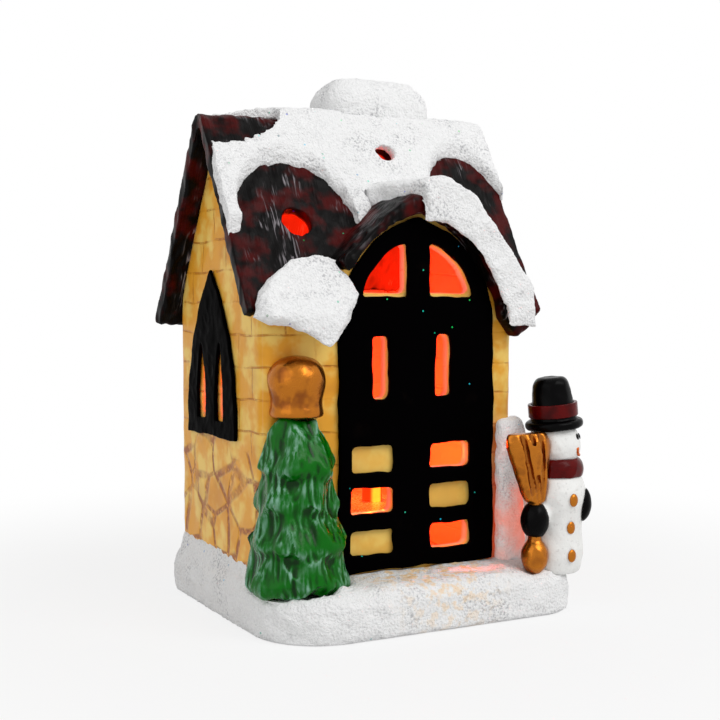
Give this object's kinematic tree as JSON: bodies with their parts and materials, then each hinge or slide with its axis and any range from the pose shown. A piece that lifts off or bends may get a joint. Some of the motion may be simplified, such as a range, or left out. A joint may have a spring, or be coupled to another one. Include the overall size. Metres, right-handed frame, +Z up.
{
  "type": "lit ceramic village house",
  "caption": "Ceramic Christmas village house with a snowy gable roof, a front hood over an arched door, a tree, a snowman and a pull-out LED lamp.",
  "frame": {"origin": "under the middle of the whole piece, on the surface that it stands on", "axes": "+X to the right along the main ridge, -Y towards the viewer at the door, +Z up"},
  "size_m": [0.085, 0.0772, 0.13],
  "materials": {
    "snow_coat": "granular white snow coat with a little glitter on fired clay",
    "wall_glaze": "cream glaze with hand-painted brick lines",
    "roof_glaze": "black and maroon glaze with dry-brushed streaks",
    "black_glaze": "gloss black glaze with sparse glitter",
    "green_glaze": "deep green glaze, white on the bough tips",
    "gold_lustre": "copper gold lustre paint",
    "red_glaze": "gloss deep red glaze",
    "white_glaze": "white glaze",
    "white_plastic": "fine moulded matt",
    "clear_plastic": "translucent moulded plastic",
    "soft_rubber": "soft matt",
    "steel": "plated steel",
    "led_lens": "clear lens, lit",
    "board": "green solder resist",
    "black_plastic": "moulded black",
    "contact_brass": "bright stamped strip"
  },
  "bodies": {
    "house": {"base_slab": "snow_coat", "ground_snow": "snow_coat", "snow_bank": "snow_coat", "house_walls": "wall_glaze", "roof": "roof_glaze", "chimney": "roof_glaze", "chimney_snow": "snow_coat", "roof_snow": "snow_coat", "hood_snow": "snow_coat", "eave_snow": "snow_coat", "door_panel": "black_glaze", "left_window_frame": "black_glaze", "right_window_frame": "black_glaze", "tree": "green_glaze", "tree_topper": "gold_lustre", "snowman_body": "white_glaze", "snowman_hat": "black_glaze", "hat_band": "red_glaze", "scarf": "red_glaze", "snowman_buttons": "gold_lustre", "broom": "gold_lustre", "mittens": "black_glaze"},
    "lamp": {"lamp_plate": "white_plastic", "lamp_cup": "clear_plastic", "lamp_screws": "steel", "gripping_ring": "soft_rubber", "led": "led_lens", "led_leads": "steel", "circuit_board": "board", "switch_case": "steel", "button_cells": "steel", "upper_contact": "contact_brass", "lower_contact": "contact_brass"},
    "battery_cap": {"battery_cap": "white_plastic", "cap_contact": "contact_brass"},
    "switch_knob": {"switch_knob": "black_plastic"}
  },
  "joints": [
    {"name": "lamp_pull", "type": "slide", "parent": "house", "child": "lamp", "axis": [0, 0, -1], "range_m": [0, 0.034]},
    {"name": "cap_turn", "type": "hinge", "parent": "lamp", "child": "battery_cap", "pos_m": [-0.00825, 0, 0.0025], "axis": [0, 0, 1], "range_deg": [0, 45]},
    {"name": "knob_slide", "type": "slide", "parent": "lamp", "child": "switch_knob", "axis": [0, 1, 0], "range_m": [0, 0.0024]}
  ]
}
